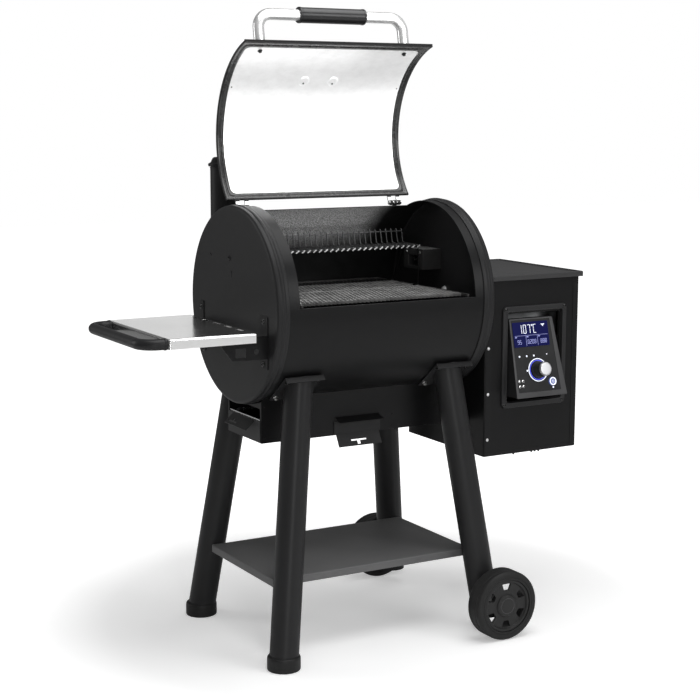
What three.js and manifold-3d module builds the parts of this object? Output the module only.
// Pellet smoker grill: a horizontal barrel cooker on four splayed tube legs, with a
// swing-up lid, a pellet hopper with auger and controller at the right, a side table
// at the left, drawers under the barrel, a storage shelf and two wheels.
// Millimetres, +Z up, +X to the hopper, the cook stands on the -Y side (the front).
// Origin: on the floor, under the centre of the bounding box.
import * as THREE from 'three';
import { mergeVertices } from 'three/addons/utils/BufferGeometryUtils.js';
import Module from 'manifold-3d';

const wasm = await Module();
wasm.setup();

// ---------------------------------------------------------------- driving dimensions
// A pair of numbers is a range, low end first. Angles "round the barrel" are in degrees,
// from the front horizontal up and over.
const BARREL_SHIFT = 2.5; // barrel centre plane to bounding-box centre
const BARREL = { z: 891.5, radius: 250, sheet: 2, half: 312 };
const CAP = { outside: 319, inboard: 285, sheet: 2 }; // distances from the centre plane
const OPENING = { x: [-256, 259], arc: [3.1, 111.5] };
const LID = { x: [-278, 279.9], arc: [0.25, 111.5], radius: 256.6, sheet: 2, centreX: 1 };
const LID_SWING = 108; // degrees the lid is swung up
const PIN_Y = 113.1; // lid hinge axis
const PIN_Z = 1130.5;
const LEG = { radius: 37.3, wall: 2, leftX: -307, rightX: 316.5, y: 250.3 }; // x, y on the floor
const LEG_LEAN = { x: 0.1269, y: 0.12 }; // inward per mm of height
const SHELF = { x: [-301, 297], halfY: 184, top: 213, flange: 20, sheet: 1.8 };
const UNDER_BOX = { x: [-288, 326.3], halfY: 97, z: [545, 668], sheet: 1.5 };
const AUGER = { z: 611, radius: 23.5 };
const AIR = { y: 72, z: 574, radius: 12 }; // air passage from the fan
const HOPPER = { x: [327, 636], y: [-198, 182], z: [461, 944], sheet: 1.5 };
const HOPPER_LID = { x: [320.5, 646], y: [-206, 190], z: [935.7, 950], sheet: 1.5 };
const TABLE = { x: [-588, -354], y: [-215, 178], top: 850, sheet: 1.5, flange: 25 };
const CHIMNEY = { x: -197, y: 300, radius: 38 };
const PROBE = { y: 54, z: 978 };
const GRATE_TOP = 912.4;

// ---------------------------------------------------------------- ranges and solids
const DEGREE = Math.PI / 180;
const SIDES = [-1, 1];

const span = (centre, half) => [centre - half, centre + half];
const grow = ([low, high], amount) => [low - amount, high + amount];
// the range near..far on the negative or positive side of zero
const sided = (side, near, far) => (side < 0 ? [-far, -near] : [near, far]);

function solid(geometry) {
  const bare = geometry.clone();
  bare.deleteAttribute('normal');
  bare.deleteAttribute('uv');
  const merged = mergeVertices(bare, 1e-4);
  return new wasm.Manifold(new wasm.Mesh({
    numProp: 3,
    vertProperties: new Float32Array(merged.attributes.position.array),
    triVerts: new Uint32Array(merged.index.array),
  }));
}

function meshGeometry(positions, indices) {
  const geometry = new THREE.BufferGeometry();
  geometry.setAttribute('position', new THREE.BufferAttribute(new Float32Array(positions), 3));
  geometry.setIndex(new THREE.BufferAttribute(new Uint32Array(indices), 1));
  return geometry;
}

const join = (...parts) => parts.flat().reduce((whole, part) => whole.add(part));
const cut = (body, ...tools) => tools.flat().reduce((rest, tool) => rest.subtract(tool), body);

// box from its x, y and z ranges
function box(...ranges) {
  const sizes = ranges.map(([low, high]) => high - low);
  const middle = ranges.map(([low, high]) => (low + high) / 2);
  return solid(new THREE.BoxGeometry(...sizes).translate(...middle));
}

// box hollowed to a wall in x and y; innerZ says which way it is open
const walledBox = (x, y, z, wall, innerZ) =>
  cut(box(x, y, z), box(grow(x, -wall), grow(y, -wall), innerZ));

// cylinder between two points
function rod(radius, start, end, segments) {
  const from = new THREE.Vector3(...start);
  const to = new THREE.Vector3(...end);
  const axis = to.clone().sub(from);
  const geometry = new THREE.CylinderGeometry(radius, radius, axis.length(), segments);
  const up = new THREE.Vector3(0, 1, 0);
  geometry.applyQuaternion(new THREE.Quaternion().setFromUnitVectors(up, axis.normalize()));
  return solid(geometry.translate(...from.add(to).multiplyScalar(0.5)));
}
// cylinders along one axis, which takes a pair of ends in place of a coordinate
const rodX = (radius, [from, to], y, z, segments) =>
  rod(radius, [from, y, z], [to, y, z], segments);
const rodY = (radius, x, [from, to], z, segments) =>
  rod(radius, [x, from, z], [x, to, z], segments);
const rodZ = (radius, x, y, [from, to], segments) =>
  rod(radius, [x, y, from], [x, y, to], segments);
const drum = (radius, x, segments = 36) => rodX(radius, x, 0, BARREL.z, segments);

const extruded = (outline, depth) => new THREE.ExtrudeGeometry(
  new THREE.Shape(outline.map((point) => new THREE.Vector2(...point))),
  { depth, bevelEnabled: false },
);
// prism with a [y, z] outline
const prismX = (outline, [from, to]) => solid(extruded(outline, to - from)
  .applyMatrix4(new THREE.Matrix4().set(0, 0, 1, from, 1, 0, 0, 0, 0, 1, 0, 0, 0, 0, 0, 1)));
// prism with an [x, z] outline
const prismY = (outline, [from, to]) => solid(extruded(outline, to - from)
  .applyMatrix4(new THREE.Matrix4().set(1, 0, 0, 0, 0, 0, -1, to, 0, 1, 0, 0, 0, 0, 0, 1)));

// [y, z] of a point at an angle round the barrel
const around = (angle, radius) => [
  -radius * Math.cos(angle * DEGREE),
  BARREL.z + radius * Math.sin(angle * DEGREE),
];
const arcPoints = (radius, [from, to], steps) => Array.from(
  { length: steps + 1 },
  (_, i) => around(from + ((to - from) * i) / steps, radius),
);
// curved sheet round the barrel axis
const band = (inner, outer, arc, x, steps = 18) => prismX(
  [...arcPoints(outer, arc, steps), ...arcPoints(inner, arc, steps).reverse()],
  x,
);
const sector = (radius, arc, x) => prismX([[0, BARREL.z], ...arcPoints(radius, arc, 12)], x);

// solid between two quadrilaterals, listed the same way round
function loft(start, end) {
  const quads = [
    [3, 2, 1, 0], [4, 5, 6, 7], [0, 1, 5, 4], [1, 2, 6, 5], [2, 3, 7, 6], [3, 0, 4, 7],
  ];
  const build = (corners) => solid(meshGeometry(
    [...start, ...end].flat(),
    quads.flatMap((quad) => corners.map((corner) => quad[corner])),
  ));
  const made = build([0, 1, 2, 0, 2, 3]);
  // a negative volume means the faces point inward
  return made.volume() > 0 ? made : build([0, 2, 1, 0, 3, 2]);
}

// path whose samples are its own points
class Polyline extends THREE.Curve {
  constructor(points) {
    super();
    this.points = points.map((point) => new THREE.Vector3(...point));
  }

  getPointAt(fraction) {
    return this.points[Math.round(fraction * (this.points.length - 1))].clone();
  }

  // mean direction of the runs that meet at a point
  getTangentAt(fraction) {
    const last = this.points.length - 1;
    const k = Math.round(fraction * last);
    const tangent = new THREE.Vector3();
    const addRun = (i) => tangent.add(this.points[i + 1].clone().sub(this.points[i]).normalize());
    if (k > 0) addRun(k - 1);
    if (k < last) addRun(k);
    return tangent.normalize();
  }
}

// twelve-sided round bar along a path of points
function bar(points, radius) {
  const outline = new THREE.Shape(Array.from({ length: 12 }, (_, i) => new THREE.Vector2(
    radius * Math.cos((i / 12) * 2 * Math.PI),
    radius * Math.sin((i / 12) * 2 * Math.PI),
  )));
  return solid(new THREE.ExtrudeGeometry(outline, {
    steps: points.length - 1,
    bevelEnabled: false,
    extrudePath: new Polyline(points),
  }));
}

// points round the bend at a corner between two straight runs
function bend(before, corner, after, radius) {
  const steps = 5;
  const tip = new THREE.Vector3(...corner);
  const back = new THREE.Vector3(...before).sub(tip).normalize();
  const ahead = new THREE.Vector3(...after).sub(tip).normalize();
  const half = Math.acos(back.dot(ahead)) / 2;
  const bisector = back.clone().add(ahead).normalize();
  const centre = tip.clone().addScaledVector(bisector, radius / Math.sin(half));
  const spoke = tip.clone().addScaledVector(back, radius / Math.tan(half)).sub(centre);
  const axis = new THREE.Vector3().crossVectors(back, ahead).normalize().negate();
  const sweep = Math.PI - 2 * half;
  return Array.from({ length: steps + 1 }, (_, i) => centre.clone()
    .add(spoke.clone().applyAxisAngle(axis, (sweep * i) / steps)).toArray());
}
// U-shaped path with both corners rounded
const bentU = (start, corner, nextCorner, end, radius) => [
  start,
  ...bend(start, corner, nextCorner, radius),
  ...bend(corner, nextCorner, end, radius),
  end,
];

// turned pieces; the profile is [radius, height], going up its outer side
const turnedY = (profile, segments) => solid(
  new THREE.LatheGeometry(profile.map((point) => new THREE.Vector2(...point)), segments),
);
const turnedZ = (profile, segments) => turnedY(profile, segments).rotate([90, 0, 0]);

// ---------------------------------------------------------------- materials
const paint = (look) => () => new THREE.MeshStandardMaterial({ ...look, metalness: 0.1 });
const metal = (look) => () => new THREE.MeshStandardMaterial({ ...look, metalness: 1 });
const MATERIAL = {
  black: paint({ color: 0x1d1d1e, roughness: 0.42 }),
  capBlack: paint({ color: 0x2b2b2c, roughness: 0.5 }),
  legBlack: paint({ color: 0x262627, roughness: 0.38 }),
  shelfBlack: paint({ color: 0x2c2c2d, roughness: 0.6 }),
  enamel: paint({ color: 0x202021, roughness: 0.55 }),
  steel: metal({ color: 0xc9cacb, roughness: 0.28 }),
  polished: metal({ color: 0xd8d9da, roughness: 0.15 }),
  zinc: metal({ color: 0xb4b5b6, roughness: 0.35 }),
  plastic: paint({ color: 0x1c1c1d, roughness: 0.55 }),
  rubber: paint({ color: 0x242425, roughness: 0.8 }),
  wheel: paint({ color: 0x2a2a2b, roughness: 0.6 }),
  grip: paint({ color: 0x29292a, roughness: 0.6 }),
  iron: paint({ color: 0x2e2e2e, roughness: 0.7 }),
  aluminium: metal({ color: 0xd5d6d8, roughness: 0.35 }),
  screen: paint({ color: 0x18206a, roughness: 0.2 }),
  silver: paint({ color: 0xd4d6da, roughness: 0.35 }),
  white: paint({ color: 0xe4e8ee, roughness: 0.4 }),
  board: paint({ color: 0x1d4a2b, roughness: 0.5 }),
  gasket: paint({ color: 0x1a1a1a, roughness: 0.9 }),
};

const cooker = new THREE.Group(); // everything, with the barrel centre plane at x = 0
cooker.position.x = BARREL_SHIFT;

function put(name, piece, material, parent = cooker, origin = [0, 0, 0]) {
  const { vertProperties, triVerts } = piece.getMesh();
  const geometry = meshGeometry(vertProperties, triVerts);
  geometry.translate(...origin.map((value) => -value));
  const mesh = new THREE.Mesh(geometry, material());
  mesh.name = name;
  parent.add(mesh);
}

// ---------------------------------------------------------------- barrel
const BARREL_CLEAR = BARREL.radius + 0.8; // cuts that let a part sit on the barrel

function barrelShell() {
  const { radius, sheet, half } = BARREL;
  const tube = cut(
    drum(radius, span(0, half)),
    drum(radius - sheet, span(0, half + 5)),
    sector(330, OPENING.arc, OPENING.x),
  );
  const hem = band(236, 249, [2.35, OPENING.arc[0]], OPENING.x, 1); // front edge of the opening
  const railX = span(0, 250);
  const grateRail = box(railX, [226, 247.6], [905.2, 907.7]); // at the height of the hem
  const trayRails = SIDES.map((side) => box(railX, sided(side, 214, 236), [806, 808])
    .intersect(drum(249, railX)));
  const bottom = [620, 670];
  return cut(
    join(tube, hem, grateRail, trayRails),
    box(span(0, 64), span(0, 64), bottom), // fire pot well
    box([-228, -186], span(0, 30), bottom), // grease drain
    box(span(CHIMNEY.x, 34), [190, 262], [972, 1030]), // smoke outlet
  );
}
put('barrel_shell', barrelShell(), MATERIAL.black);

function endCap(side) {
  const ring = (radius, near, far) => drum(radius, sided(side, near, far));
  return cut(
    join(ring(253.6, CAP.inboard, CAP.outside), ring(255.6, 297, 304.5)),
    ring(250.6, CAP.inboard - 5, CAP.outside - CAP.sheet),
  );
}
const LEFT_CAP_HOLES = [[4, 128, 1011], [4, 17, 1010], [3.5, 5, 971]]; // radius, y, z
const leftHoles = LEFT_CAP_HOLES.map(([radius, y, z]) => rodX(radius, [-330, -300], y, z, 12));
put('left_end_cap', cut(endCap(-1), leftHoles), MATERIAL.capBlack);
const probeHole = rodX(4.4, [300, 330], PROBE.y, PROBE.z, 12);
put('right_end_cap', cut(endCap(1), probeHole), MATERIAL.capBlack);

// ---------------------------------------------------------------- lid, swung up about its pins
const lid = new THREE.Group();
lid.position.set(0, PIN_Y, PIN_Z);
lid.rotation.x = -LID_SWING * DEGREE;
cooker.add(lid);
// lid pieces are modelled closed
const putOnLid = (name, piece, material) => put(name, piece, material, lid, [0, PIN_Y, PIN_Z]);

function lidShell() {
  const { x, arc, radius, sheet } = LID;
  const edge = (edgeArc, edgeX, steps) => band(250.9, radius - 1, edgeArc, edgeX, steps);
  return join(
    band(radius - sheet, radius, arc, x),
    edge(arc, [x[0], x[0] + sheet]),
    edge(arc, [x[1] - sheet, x[1]]),
    edge([arc[0], arc[0] + 0.45], x, 1),
    edge([arc[1] - 0.45, arc[1]], x, 1),
  );
}
putOnLid('lid_shell', lidShell(), MATERIAL.black);

const liner = band(252.6, 254.2, [7.7, 107.1], span(LID.centreX, 258));
putOnLid('lid_liner', liner, MATERIAL.steel);

// frame round the liner
const gasket = cut(
  band(250.5, 254.2, [0.95, 110.8], grow(LID.x, -LID.sheet - 0.3)),
  band(240, 262, [7.55, 107.25], span(LID.centreX, 258.4)),
);
putOnLid('lid_gasket', gasket, MATERIAL.gasket);

// handle: a steel tube bent to a U, with a sleeve on the straight
const HANDLE = { angle: 10.43, tilt: 8.2, stand: 89, half: 215.2, radius: 14.5, bend: 34 };
const GRIP = { half: 98, radius: 21 };
function handlePoint(x, out) {
  const [y, z] = around(HANDLE.angle, LID.radius);
  const tilt = HANDLE.tilt * DEGREE;
  return [LID.centreX + x, y - Math.cos(tilt) * out, z - Math.sin(tilt) * out];
}
function handleTube() {
  const { half, stand, radius } = HANDLE;
  const path = bentU(
    handlePoint(-half, -12),
    handlePoint(-half, stand),
    handlePoint(half, stand),
    handlePoint(half, -12),
    HANDLE.bend,
  );
  return cut(bar(path, radius), drum(LID.radius + 0.8, span(0, 300), 60));
}
putOnLid('lid_handle_tube', handleTube(), MATERIAL.polished);

const gripRod = (radius, half) =>
  rod(radius, handlePoint(-half, HANDLE.stand), handlePoint(half, HANDLE.stand), 20);
const gripSleeve = cut(gripRod(GRIP.radius, GRIP.half), gripRod(HANDLE.radius + 0.9, GRIP.half + 5));
putOnLid('lid_handle_grip', gripSleeve, MATERIAL.grip);

// lid hinges: fixed leaf with its pin on the barrel, moving leaf on the lid
const HINGE = { x: 232, leafHalf: 19, knuckleHalf: 7, knuckleRadius: 5.6, pinRadius: 3 };
const onPin = (radius, x, segments) => rodX(radius, x, PIN_Y, PIN_Z, segments);

function fixedLeaf(centre) {
  const knuckleX = span(centre, HINGE.knuckleHalf);
  const arm = [
    around(117.5, 252.4), around(117.5, 251.2),
    [PIN_Y - 1.5, PIN_Z - 3.6], [PIN_Y + 3, PIN_Z + 2.2],
  ];
  return join(
    band(250.5, 252.7, [116.5, 127], span(centre, HINGE.leafHalf), 4),
    prismX(arm, knuckleX),
    onPin(HINGE.knuckleRadius, knuckleX, 12),
    onPin(HINGE.pinRadius, span(centre, 20.5), 10), // the pin is riveted into this leaf
  );
}
function movingLeaf(centre) {
  const arm = [
    around(110, 257.0), around(110, 259.2),
    [PIN_Y - 1, PIN_Z + 3.6], [PIN_Y - 3.4, PIN_Z - 1.6],
  ];
  const inner = HINGE.knuckleHalf + 0.4;
  const leaf = band(257.0, 259.2, [100, 110.5], span(centre, HINGE.leafHalf), 4);
  const knuckles = [[-HINGE.leafHalf, -inner], [inner, HINGE.leafHalf]].map(([from, to]) => {
    const x = [centre + from, centre + to];
    return join(onPin(HINGE.knuckleRadius, x, 12), prismX(arm, x));
  });
  return cut(join(leaf, knuckles), onPin(HINGE.pinRadius + 0.6, span(centre, 40), 12));
}
for (const [name, side] of [['left', -1], ['right', 1]]) {
  const centre = LID.centreX + side * HINGE.x;
  put(`lid_hinge_leaf_fixed_${name}`, fixedLeaf(centre), MATERIAL.polished);
  putOnLid(`lid_hinge_leaf_moving_${name}`, movingLeaf(centre), MATERIAL.polished);
}

// ---------------------------------------------------------------- legs, feet, wheels, shelf
// side is -1 left, 1 right; end is -1 front, 1 rear
const PLATE = { angle: 52, half: 57, halfX: 55, thickness: 3, lip: 15 }; // degrees below horizontal
const FOOT = { radius: 42.5, height: 36, floor: 8 };
const WHEEL = { radius: 93, x: 306.7, y: 323.6, segments: 24 };
const AXLE_RADIUS = 6;

// point on a leg's axis
const legPoint = (side, end, z) => [
  (side < 0 ? LEG.leftX : LEG.rightX) - side * LEG_LEAN.x * z,
  end * (LEG.y - LEG_LEAN.y * z),
  z,
];
const legRod = (side, end, radius, [from, to]) =>
  rod(radius, legPoint(side, end, from), legPoint(side, end, to), 20);

// tube trimmed against a plate that lies tangent to the barrel
function leg(side, end, bottom) {
  const cosine = Math.cos(PLATE.angle * DEGREE);
  const sine = Math.sin(PLATE.angle * DEGREE);
  const inner = BARREL.radius + 0.5;
  const outer = inner + PLATE.thickness;
  // [y, z] at a distance out from the barrel axis and a distance up the plate
  const point = (out, up) => [
    end * (cosine * out + sine * up),
    BARREL.z - sine * out + cosine * up,
  ];
  const plateX = span(legPoint(side, end, 703)[0], PLATE.halfX);
  const strip = (far, low, high) => prismX(
    [point(inner, low), point(far, low), point(far, high), point(inner, high)],
    plateX,
  );
  const tube = cut(
    legRod(side, end, LEG.radius, [-30, 830]),
    legRod(side, end, LEG.radius - LEG.wall, [-40, 840]),
  )
    .trimByPlane([0, 0, 1], bottom)
    .trimByPlane([0, end * cosine, -sine], outer - 1 - sine * BARREL.z);
  return join(
    tube,
    strip(outer, -PLATE.half, PLATE.half),
    strip(inner + PLATE.lip, PLATE.half - PLATE.thickness, PLATE.half), // lip on the upper edge
  );
}

// level foot under a left leg, with a socket for the tube
function foot(end) {
  const [x, y] = legPoint(-1, end, 18);
  const socket = legRod(-1, end, LEG.radius + 0.5, [-20, 80]);
  return cut(
    rodZ(FOOT.radius, x, y, [0, FOOT.height], 24),
    socket.trimByPlane([0, 0, 1], FOOT.floor),
  );
}

// [radius, y from the wheel's middle plane]; the outer face is at -y
const TYRE_PROFILE = [
  [70.4, -26.5], [74, -28], [87, -28], [WHEEL.radius, -21],
  [WHEEL.radius, 21], [87, 28], [74, 28], [70.4, 26.5], [70.4, -26.5],
];
const HUB_PROFILE = [
  [0, -27.5], [27, -27.5], [31, -23], [31, -20], [61, -20], [62, -25],
  [70, -25], [70, 25], [65, 25], [63, -14], [16, -14], [16, 26.5],
  [AXLE_RADIUS + 0.6, 26.5], [AXLE_RADIUS + 0.6, -18], [0, -18],
];
const HUB_WINDOW = [[42, -10], [60.5, -13.5], [60.5, 13.5], [42, 10]]; // radius, degrees

function wheelHub() {
  const windows = Array.from({ length: 6 }, (_, i) => prismY(
    HUB_WINDOW.map(([radius, offset]) => {
      const angle = (i * 60 + 30 + offset) * DEGREE;
      return [radius * Math.cos(angle), radius * Math.sin(angle)];
    }),
    [-24, -10],
  ));
  return cut(turnedY(HUB_PROFILE, WHEEL.segments), windows);
}

function wheel(name, end) {
  const group = new THREE.Group();
  group.position.set(WHEEL.x, end * WHEEL.y, WHEEL.radius);
  if (end > 0) group.rotation.z = Math.PI;
  cooker.add(group);
  const tyre = turnedY(TYRE_PROFILE, WHEEL.segments);
  put(`wheel_tyre_${name}`, tyre, MATERIAL.rubber, group);
  put(`wheel_hub_${name}`, wheelHub(), MATERIAL.wheel, group);
}

for (const [name, end] of [['front', -1], ['rear', 1]]) {
  const onAxle = (radius, near, far, segments) =>
    rodY(radius, WHEEL.x, [end * near, end * far], WHEEL.radius, segments);
  const rightLeg = cut(leg(1, end, 42), onAxle(AXLE_RADIUS + 0.5, 150, 300, 16));
  put(`leg_${name}_left`, leg(-1, end, FOOT.floor + 0.3), MATERIAL.legBlack);
  put(`leg_${name}_right`, rightLeg, MATERIAL.legBlack);
  put(`foot_${name}_left`, foot(end), MATERIAL.plastic);
  wheel(name, end);
  // stub axle through the leg, with a collar outside and a hexagon head inside
  const axle = join(
    onAxle(AXLE_RADIUS, 190, WHEEL.y + 17.5, 16),
    onAxle(10.5, 279.2, 296.7, 16),
    onAxle(10, 190, 199, 6),
  );
  put(`axle_${name}`, axle, MATERIAL.zinc);
}

// pan open downward, with a stub toward each leg
function bottomShelf() {
  const { x, halfY, top, flange, sheet } = SHELF;
  const z = [top - flange, top];
  const pan = walledBox(x, span(0, halfY), z, sheet, [top - flange - 5, top - sheet]);
  const stubs = SIDES.flatMap((end) => SIDES.map((side) => {
    const [legX, legY, stubZ] = legPoint(side, end, top - flange / 2);
    const tip = Math.abs(legY) - LEG.radius - 0.9;
    return rodY(5, legX, [end * (halfY - 1), end * tip], stubZ, 10);
  }));
  return join(pan, stubs);
}
put('bottom_shelf', bottomShelf(), MATERIAL.shelfBlack);

// ---------------------------------------------------------------- box under the barrel, drawers
// holes for the auger and the air, through the under-box and hopper walls
const feedHoles = () => [
  rodX(AUGER.radius + 0.8, [300, 340], 0, AUGER.z, 24),
  rodX(AIR.radius, [300, 340], AIR.y, AIR.z, 16),
];
const BOX_LEFT = UNDER_BOX.x[0];

function underBox() {
  const { x, halfY, z, sheet } = UNDER_BOX;
  const floor = z[0];
  const capClear = 256.4;
  const body = cut(
    walledBox(x, span(0, halfY), z, sheet, [floor + sheet, 700]),
    drum(BARREL_CLEAR, span(0, CAP.inboard - 0.4)),
    SIDES.map((side) => drum(capClear, sided(side, CAP.inboard - 0.6, 340))),
    box([-71, 56], span(-halfY, 5), [floor + 3.5, floor + 33]), // front drawer opening
    box(span(BOX_LEFT, 5), span(0, 90), [floor + 3.5, 634]), // left drawer opening
    feedHoles(),
  );
  const root = -halfY + 0.5;
  const hood = [[root, 591], [-127, 580.9], [-127, 582.5], [root, 592.8]]; // over the front drawer
  return join(body, prismX(hood, [-74, 58]));
}
put('under_box', underBox(), MATERIAL.black);

// front drawer: ash and burn-pot sweepings, with a bent-down pull
function ashDrawer() {
  const normal = [-0.874 * 1.6, 0.486 * 1.6]; // across the pull's thickness
  const root = [-98.2, 547.5];
  const tip = [-116, 515.5];
  const offset = ([y, z]) => [y + normal[0], z + normal[1]];
  const front = box([-77, 62], [-99.4, -97.5], [546.2, 580.2]);
  const pull = prismX([root, tip, offset(tip), offset(root)], [-72, 57]);
  const slotY = [-125, -90];
  // T slot in the pull
  const slot = [box([-32, 14], slotY, [528, 531.6]), box([-14.5, -5.5], slotY, [519.5, 528.5])];
  const tray = cut(
    box([-68, 53], [-98, 34], [549, 574]),
    box([-66.5, 51.5], [-97.4, 32.5], [550.5, 590]),
  );
  return join(cut(join(front, pull), slot), tray);
}
put('ash_drawer', ashDrawer(), MATERIAL.black);

// left drawer: grease, with a bent-out pull
function greaseDrawer() {
  const sheet = 1.5;
  const [left, right] = [BOX_LEFT, -122];
  const front = box([left - 2, left - 0.4], span(0, 93), [547.2, 602]);
  const pull = prismY([
    [left - 0.6, 598.5], [left - 27, 575.5], [left - 28.2, 576.9], [left - 1.6, 600.5],
  ], span(0, 62));
  // T slot in the pull
  const slot = [
    box([left - 22, left - 18.5], [8, 52], [560, 610]),
    box([left - 18.6, left - 11], [26, 34], [560, 610]),
  ];
  const tray = cut(
    box([left - 1, right], span(0, 87), [549, 597]),
    box([left + 0.4, right - sheet], span(0, 87 - sheet), [549 + sheet, 610]),
  );
  return join(cut(join(front, pull), slot), tray);
}
put('grease_drawer', greaseDrawer(), MATERIAL.capBlack);

// thin tray with a rim, inside the grease drawer
function greaseLiner() {
  const halfY = 84.8;
  const inner = [BOX_LEFT + 2, -125.5];
  const tray = walledBox([BOX_LEFT + 1, -124.5], span(0, halfY), [551, 605.5], 1, [552, 620]);
  const rim = cut(
    box([BOX_LEFT + 0.6, -121], span(0, halfY + 2), [604.3, 605.8]),
    box(inner, span(0, halfY - 1), [600, 620]),
  );
  return join(tray, rim);
}
put('grease_tray_liner', greaseLiner(), MATERIAL.aluminium);

// ---------------------------------------------------------------- inside the barrel
// wide drip tray, pitched down to the drain at the left
function dripTray() {
  const half = 238;
  const halfY = 226;
  const low = 812; // underside at the left and right ends
  const high = 826;
  const fullY = span(0, halfY);
  const edgeWall = [[-half, low], [half, high], [half, high + 10], [-half, low + 12]];
  const sheet = join(
    prismY([[-half, low], [half, high], [half, high + 2], [-half, low + 2]], fullY),
    prismY([[-half, low], [2 - half, low], [2 - half, low + 14], [-half, low + 14]], fullY),
    prismY([[half - 2, high], [half, high], [half, high + 10], [half - 2, high + 10]], fullY),
    SIDES.map((side) => prismY(edgeWall, sided(side, halfY - 2, halfY))),
  );
  const drain = box([-232, -208], span(0, 24), span(low, 10));
  const runners = [[[-half, -100], low + 2], [[200, half], high + 1]].flatMap(([x, top]) =>
    SIDES.map((side) => box(x, sided(side, halfY - 14, halfY), [808.4, top])));
  return join(cut(sheet, drain), runners);
}
put('drip_tray', dripTray(), MATERIAL.black);

// bent roof over the fire pot, on four legs
function heatDeflector() {
  const roof = [[-95, 716], [0, 738], [95, 716], [95, 718.2], [0, 740.2], [-95, 718.2]];
  const legs = SIDES.flatMap((side) => SIDES.map((end) =>
    box(span(side * 100, 2), span(end * 86, 8), [664.5, 718.6])));
  return join(prismX(roof, span(0, 110)), legs);
}
put('heat_deflector', heatDeflector(), MATERIAL.enamel);

const IGNITER_Z = 600;
const firePot = cut(
  rodZ(52, 0, 0, [588, 700], 20),
  rodZ(49, 0, 0, [591, 720], 20),
  rodX(20, [30, 70], 0, AUGER.z, 16), // pellet inlet
  rodX(5.6, [-70, -30], 0, IGNITER_Z, 12), // igniter hole
);
put('fire_pot', firePot, MATERIAL.iron);
put('igniter_rod', rodX(5, [-112, -34], 0, IGNITER_Z, 12), MATERIAL.zinc);

// one lift-out casting with slots, and a thinner ledge at the rear
function cookingGrate() {
  const x = span(0, 247);
  const slots = Array.from({ length: 7 }, (_, i) => [[-225, -14], [2, 213]].map((y) =>
    box(span(-207 + i * 69, 27), y, [GRATE_TOP - 12, GRATE_TOP + 5]))).flat();
  const plate = box(x, [-237.5, 225], [GRATE_TOP - 7, GRATE_TOP]);
  return join(cut(plate, slots), box(x, [223, 236], [GRATE_TOP - 4, GRATE_TOP]));
}
put('cooking_grate', cookingGrate(), MATERIAL.iron);

// wire shelf with a low rear fence, on wire legs whose rear pair join along the bottom
function warmingRack() {
  const top = 1022;
  const half = 249;
  const x = span(0, half);
  const [front, back] = [8, 92];
  const frame = walledBox(x, [front, back], [top - 5, top], 6, [top - 9, top + 5]);
  const wires = Array.from({ length: 8 }, (_, i) =>
    box(span(-half + ((i + 1) * 2 * half) / 9, 2.5), [front + 1, back - 1], [top - 4.5, top]));
  // bar of the fence, which leans back with height above the shelf
  const lean = (height) => back - 5 + (height * 8) / 36;
  const fenceBar = ([low, high], near, far, barX) => prismX([
    [lean(low) + near, top + low], [lean(low) + far, top + low],
    [lean(high) + far, top + high], [lean(high) + near, top + high],
  ], barX);
  const rails = [[-4, 4], [32, 38]].map((heights) => fenceBar(heights, 0, 5, x));
  const posts = [-half + 3, -150, -50, 50, 150, half - 3].map((postX) =>
    fenceBar([-2, 36], 0.5, 4.5, span(postX, 2.5)));
  const legs = SIDES.flatMap((side) => [
    rod(2.6, [side * 246, back - 4, top - 2], [side * 245, 138, GRATE_TOP + 3], 6),
    rod(2.6, [side * 246, front + 4, top - 2], [side * 240, front - 8, GRATE_TOP + 0.4], 6),
  ]);
  const footWire = rodX(2.2, span(0, 245), 138, GRATE_TOP + 2.7, 6);
  return join(frame, wires, rails, posts, legs, footWire);
}
put('warming_rack', warmingRack(), MATERIAL.iron);

// temperature probe and its guard on the right end wall
const probe = join(
  rodX(3.8, [262, 319.6], PROBE.y, PROBE.z, 10),
  rodX(6.4, [311, 316.6], PROBE.y, PROBE.z, 6), // nut inside, clear of the hopper lid's swing
);
put('temp_probe', probe, MATERIAL.zinc);
const probeGuard = cut(
  box([258, 316.6], span(PROBE.y, 49), [952, 1008]),
  box([259.5, 330], span(PROBE.y, 47.5), [940, 1006.5]),
  box([250, 262], span(PROBE.y, 24), [960, 990]),
);
put('probe_guard', probeGuard, MATERIAL.enamel);

// ---------------------------------------------------------------- chimney at the rear left
function chimneyElbow() {
  const { x, y, radius } = CHIMNEY;
  return cut(
    box(span(x, 44), [190, 343], [962, 1041]),
    box(span(x, 42), [180, 341], [964, 1039]),
    drum(BARREL_CLEAR, span(0, 300)),
    rodZ(radius - 2.6, x, y, [1030, 1050], 28),
  );
}
put('chimney_elbow', chimneyElbow(), MATERIAL.black);

// pipe with a drilled crossbar for the cap's stem
function chimneyPipe() {
  const { x, y, radius } = CHIMNEY;
  const tube = cut(
    rodZ(radius, x, y, [1041.4, 1230], 24),
    rodZ(radius - 2, x, y, [1030, 1240], 24),
  );
  const crossbar = box(span(x, radius - 1), span(y, 7), [1196, 1199]);
  return cut(join(tube, crossbar), rodZ(4.6, x, y, [1190, 1205], 12));
}
put('chimney_pipe', chimneyPipe(), MATERIAL.black);

// [radius, z]
const CHIMNEY_CAP_PROFILE = [
  [0, 1160], [4, 1160], [4, 1234.5], [33, 1234.5], [42.5, 1231.2], [43.5, 1236],
  [41.5, 1239.5], [35, 1244], [32, 1253], [26, 1257], [0, 1257],
];
const chimneyCap = turnedZ(CHIMNEY_CAP_PROFILE, 18).translate([CHIMNEY.x, CHIMNEY.y, 0]);
put('chimney_cap', chimneyCap, MATERIAL.black);

// ---------------------------------------------------------------- hopper
const onHopperPin = (radius, x) => rodX(radius, x, 196, 938, 10);
const hopperPinHole = () => onHopperPin(3.1, [340, 630]);

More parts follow.
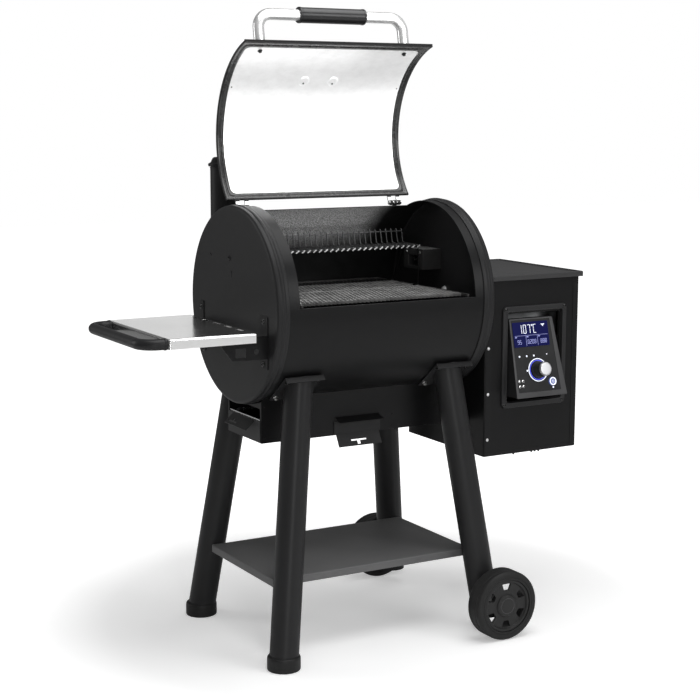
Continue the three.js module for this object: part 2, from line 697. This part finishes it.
function hopperShell() {
  const { x, y, z, sheet } = HOPPER;
  const body = cut(
    walledBox(x, y, z, sheet, [z[0] + sheet, 1100]),
    feedHoles(),
    box([396, 573], [-210, -190], [606, 845]), // window for the controller
  );
  const lugs = [[376, 400], [565, 589]].flatMap((lugX) => [
    box(lugX, [y[1] - 1, 199], [924, 931]),
    box(lugX, [193.5, 199], [924, 938]),
    onHopperPin(5, lugX),
  ]);
  // stand-off frame against the barrel
  const frame = cut(
    box([319.5, 327.5], [-60, 110], [680, 860]),
    box([300, 327.5], [-30, 80], [710, 830]),
  );
  return join(cut(join(body, lugs), hopperPinHole()), frame);
}
put('hopper_shell', hopperShell(), MATERIAL.black);

function hopperLid() {
  const { x, y, z, sheet } = HOPPER_LID;
  const [bottom, top] = z;
  const panel = cut(
    walledBox(x, y, z, sheet, [bottom - 5, top - 5.6]),
    box(grow(x, -8), grow(y, -8), [top - 4, top + 5]), // recess in the top
  );
  const knuckles = [[350, 375.5], [589.5, 615]].flatMap((knuckleX) => [
    onHopperPin(5, knuckleX),
    box(knuckleX, [y[1] - 1, 195], [937, 941.5]),
  ]);
  return cut(join(panel, knuckles), hopperPinHole());
}
put('hopper_lid', hopperLid(), MATERIAL.shelfBlack);
put('hopper_hinge_pin', onHopperPin(2.5, [346, 619]), MATERIAL.zinc);

// funnel that feeds the auger inlet
function hopperFunnel() {
  const sheet = 1.5;
  const x = [330, 633];
  const y = [-140, 178];
  const [innerX, innerY] = [grow(x, -sheet), grow(y, -sheet)];
  const level = ([left, right], [front, back], z) =>
    [[left, front, z], [right, front, z], [right, back, z], [left, back, z]];
  const outer = join(
    loft(level([389, 447], [-23, 23], 640), level(x, y, 770)),
    box(x, y, [770, 925]),
  );
  const inner = join(
    loft(level([391, 445], [-21, 21], 637), level(innerX, innerY, 771.5)),
    box(innerX, innerY, [770, 950]),
  );
  return join(
    cut(outer, inner, box([389, 447], span(0, 30), [630, 641])),
    box(x, [-195, -139], [923.5, 925]), // ledge to the hopper's front wall
    box(x, [-195, -193.5], [915, 925]),
  );
}
put('hopper_funnel', hopperFunnel(), MATERIAL.zinc);

const augerTube = cut(
  rodX(AUGER.radius, [53.2, 458], 0, AUGER.z, 16),
  rodX(AUGER.radius - 2, [40, 456], 0, AUGER.z, 16),
  box([392, 444], span(0, 19), [AUGER.z, 700]), // pellet inlet
  rodX(8, [440, 470], 0, AUGER.z, 12), // shaft hole
);
put('auger_tube', augerTube, MATERIAL.zinc);

// shaft with a helical flight of rectangular section, eight steps to a turn
function augerScrew() {
  const [from, to] = [57, 450];
  const pitch = 66;
  const steps = Math.round(((to - from) / pitch) * 8);
  const section = [[4, -1.5], [20, -1.5], [20, 1.5], [4, 1.5]]; // radius, x offset
  const positions = [];
  const indices = [];
  for (let i = 0; i <= steps; i++) {
    const angle = (i / 8) * 2 * Math.PI;
    const x = from + 3 + ((to - from - 8) * i) / steps;
    for (const [radius, offset] of section) {
      positions.push(x + offset, radius * Math.cos(angle), AUGER.z + radius * Math.sin(angle));
    }
    if (i === 0) continue;
    const here = 4 * i;
    const last = here - 4;
    for (let k = 0; k < 4; k++) {
      const next = (k + 1) % 4;
      indices.push(last + k, here + next, last + next, last + k, here + k, here + next);
    }
  }
  const end = 4 * steps;
  indices.push(0, 1, 2, 0, 2, 3, end, end + 2, end + 1, end, end + 3, end + 2);
  const shaft = rodX(7, [from, 466], 0, AUGER.z, 12);
  return join(shaft, solid(meshGeometry(positions, indices)));
}
put('auger_screw', augerScrew(), MATERIAL.zinc);

// gearbox and motor, with a socket for the screw's shaft
const augerMotor = cut(
  join(box([470, 530], span(0, 36), [578, 648]), rodX(27, [530, 585], 0, AUGER.z, 20)),
  rodX(7.5, [460, 480], 0, AUGER.z, 12),
);
put('auger_motor', augerMotor, MATERIAL.black);

// combustion fan beside the auger
const FAN = { y: 84, z: 545 };
const fanBox = cut(
  box([331, 371], span(FAN.y, 50), span(FAN.z, 50)),
  rodX(46, [333, 390], FAN.y, FAN.z, 28),
  rodX(AIR.radius, [320, 340], AIR.y, AIR.z, 16),
);
const fanHousing = join(fanBox, rodX(5, [332, 336], FAN.y, FAN.z, 10));
put('fan_housing', fanHousing, MATERIAL.plastic);

function fanImpeller() {
  const count = 7;
  const blades = Array.from({ length: count }, (_, i) => box([342, 366], [10, 42], span(0, 1.2))
    .rotate([(i * 360) / count, 0, 0])
    .translate([0, FAN.y, FAN.z]));
  return join(rodX(15, [340, 368], FAN.y, FAN.z, 16), blades);
}
put('fan_impeller', fanImpeller(), MATERIAL.plastic);

// ---------------------------------------------------------------- controller on the hopper front
const bezel = cut(
  box([385, 586], [-203.5, -198.4], [596, 863]),
  box([396.2, 572.8], [-210, -190], [606.2, 844.8]),
);
put('control_bezel', bezel, MATERIAL.plastic);

// leaning fascia: x runs top left, top right, bottom right, bottom left
const FASCIA_OUTER = {
  x: [402.2, 545, 565.5, 398.2], topZ: 831,
  front: { topY: -199.5, bottomY: -249.5, bottomZ: 622 },
  back: { topY: -186, bottomY: -186, bottomZ: 609.5 },
};
const FASCIA_INNER = {
  x: [404.7, 542.5, 562.5, 400.9], topZ: 828.5,
  front: { topY: -197, bottomY: -246.3, bottomZ: 624.8 },
  back: { topY: -180, bottomY: -180, bottomZ: 612.4 },
};
const KNOB = [478, -142]; // x, y on the panel
const BUTTON = [520.5, -176.3];

const panel = new THREE.Group(); // x across, y up the leaning face, z out of it
const { front: face, topZ: faceTop } = FASCIA_OUTER;
panel.position.set(0, face.topY, faceTop);
const panelLean = Math.atan2(face.topY - face.bottomY, faceTop - face.bottomZ);
panel.rotation.x = Math.PI / 2 - panelLean;
panel.updateMatrix();

function wedge({ x, topZ, front, back }) {
  const corners = ({ topY, bottomY, bottomZ }) =>
    x.map((cornerX, i) => (i < 2 ? [cornerX, topY, topZ] : [cornerX, bottomY, bottomZ]));
  return loft(corners(back), corners(front));
}
function controlFascia() {
  const hole = (radius, place, segments) => {
    const [inside, outside] = [-20, 5].map((z) =>
      new THREE.Vector3(...place, z).applyMatrix4(panel.matrix).toArray());
    return rod(radius, inside, outside, segments);
  };
  const shell = cut(wedge(FASCIA_OUTER), wedge(FASCIA_INNER));
  return cut(shell, hole(4.6, KNOB, 14), hole(12, BUTTON, 20));
}
put('control_fascia', controlFascia(), MATERIAL.plastic);

cooker.add(panel);
put('display_lens', box([408, 530], [-79, -9], [0.4, 2.4]), MATERIAL.screen, panel);
put('control_board', box([418, 538], [-190, -22], [-10.5, -8.9]), MATERIAL.board, panel);
put('knob_shaft', rodZ(4, ...KNOB, [-8.5, 14], 14), MATERIAL.zinc, panel);

// [radius, height]; hollow behind, so that it slides in over its shaft
const KNOB_PROFILE = [
  [0, 31], [15, 31], [18.5, 10], [21, 2.2], [23.5, 2.2],
  [21.5, 10], [18, 34], [16, 36], [0, 36],
];
const knob = cut(
  join(turnedZ(KNOB_PROFILE, 20), rodZ(7.5, 0, 0, [5, 32], 16)),
  rodZ(4.4, 0, 0, [0, 16.5], 14),
);
put('control_knob', knob.translate([...KNOB, 0]), MATERIAL.silver, panel);
const button = join(rodZ(11.4, ...BUTTON, [-1.5, 3.4], 20), rodZ(5, ...BUTTON, [-6.5, 0], 12));
put('power_button', button, MATERIAL.white, panel);

// ---------------------------------------------------------------- side table at the left
const TABLE_GRIP = { outerX: -659, radius: 13.5, bend: 42, inset: 17, drop: 13 };

function tableTop() {
  const { x: [left, right], y, top, sheet, flange } = TABLE;
  const innerY = grow(y, -sheet);
  const pan = cut(
    box([left, right], y, [top - flange, top]),
    box([left + sheet, right + 5], innerY, [top - flange - 5, top - sheet]),
  );
  const rightFlange = box([right - sheet, right], innerY, [top - 12, top]);
  const toolSlots = Array.from({ length: 5 }, (_, i) => {
    const start = y[0] + 50 + i * 66;
    return box([right - 22, right - 12], [start, start + 36], span(top, 5));
  });
  return cut(join(pan, rightFlange), toolSlots);
}
put('side_table_top', tableTop(), MATERIAL.steel);

function tableGrip() {
  const start = TABLE.x[0] - 0.4;
  const outer = TABLE_GRIP.outerX + TABLE_GRIP.radius;
  const [front, back] = grow(TABLE.y, -TABLE_GRIP.inset);
  const z = TABLE.top - TABLE_GRIP.drop;
  const path = bentU(
    [start, front, z],
    [outer, front, z],
    [outer, back, z],
    [start, back, z],
    TABLE_GRIP.bend,
  );
  return bar(path, TABLE_GRIP.radius);
}
put('side_table_grip', tableGrip(), MATERIAL.grip);

// flange on the end cap and a web under the table sheet
function tableBracket(y, flangeWidth) {
  const root = -CAP.outside - 0.4;
  const top = TABLE.top - 1.9;
  const web = [
    [root, 780], [-417, 782], [-447, 822], [-560, 838],
    [-560, top], [-357, top], [-357, 838], [root, 838],
  ];
  return join(
    box([root - 2, root], [y, y + flangeWidth], [753, 884]),
    prismY(web, [y, y + 2]),
  );
}
const frontY = TABLE.y[0] + 15;
const frontBracket = cut(
  tableBracket(frontY, 42),
  box([-408, -379], span(frontY, 5), [789, 812]),
  rodY(7, -351, span(frontY, 5), 801, 16),
);
put('table_bracket_front', frontBracket, MATERIAL.black);
put('table_bracket_rear', tableBracket(TABLE.y[1] - 5, 22), MATERIAL.black);

export default cooker;
